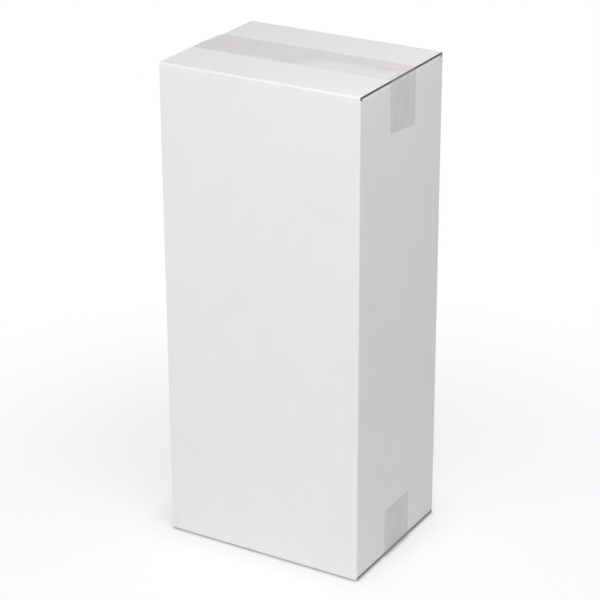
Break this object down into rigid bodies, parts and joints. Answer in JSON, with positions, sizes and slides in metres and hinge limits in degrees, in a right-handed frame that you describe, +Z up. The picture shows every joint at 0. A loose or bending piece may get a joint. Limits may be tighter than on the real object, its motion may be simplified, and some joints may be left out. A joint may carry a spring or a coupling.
{
  "type": "corrugated box",
  "caption": "Tall white corrugated carton, closed with overlapping flaps at both ends and sealed along each seam with clear tape.",
  "frame": {"origin": "under the middle of the carton, on the surface that it stands on", "axes": "+Z up, +X along the long panels towards the right end, +Y from the front panel towards the back panel with the glued corner at back left"},
  "size_m": [0.2094, 0.157, 0.4823],
  "materials": {
    "white_board": "matt bleached liner paper with faint flute lines",
    "clear_tape": "clear glossy packing film, slightly wrinkled"
  },
  "bodies": {
    "root": {"carton": "white_board", "top_tape": "clear_tape", "bottom_tape": "clear_tape"}
  },
  "joints": []
}
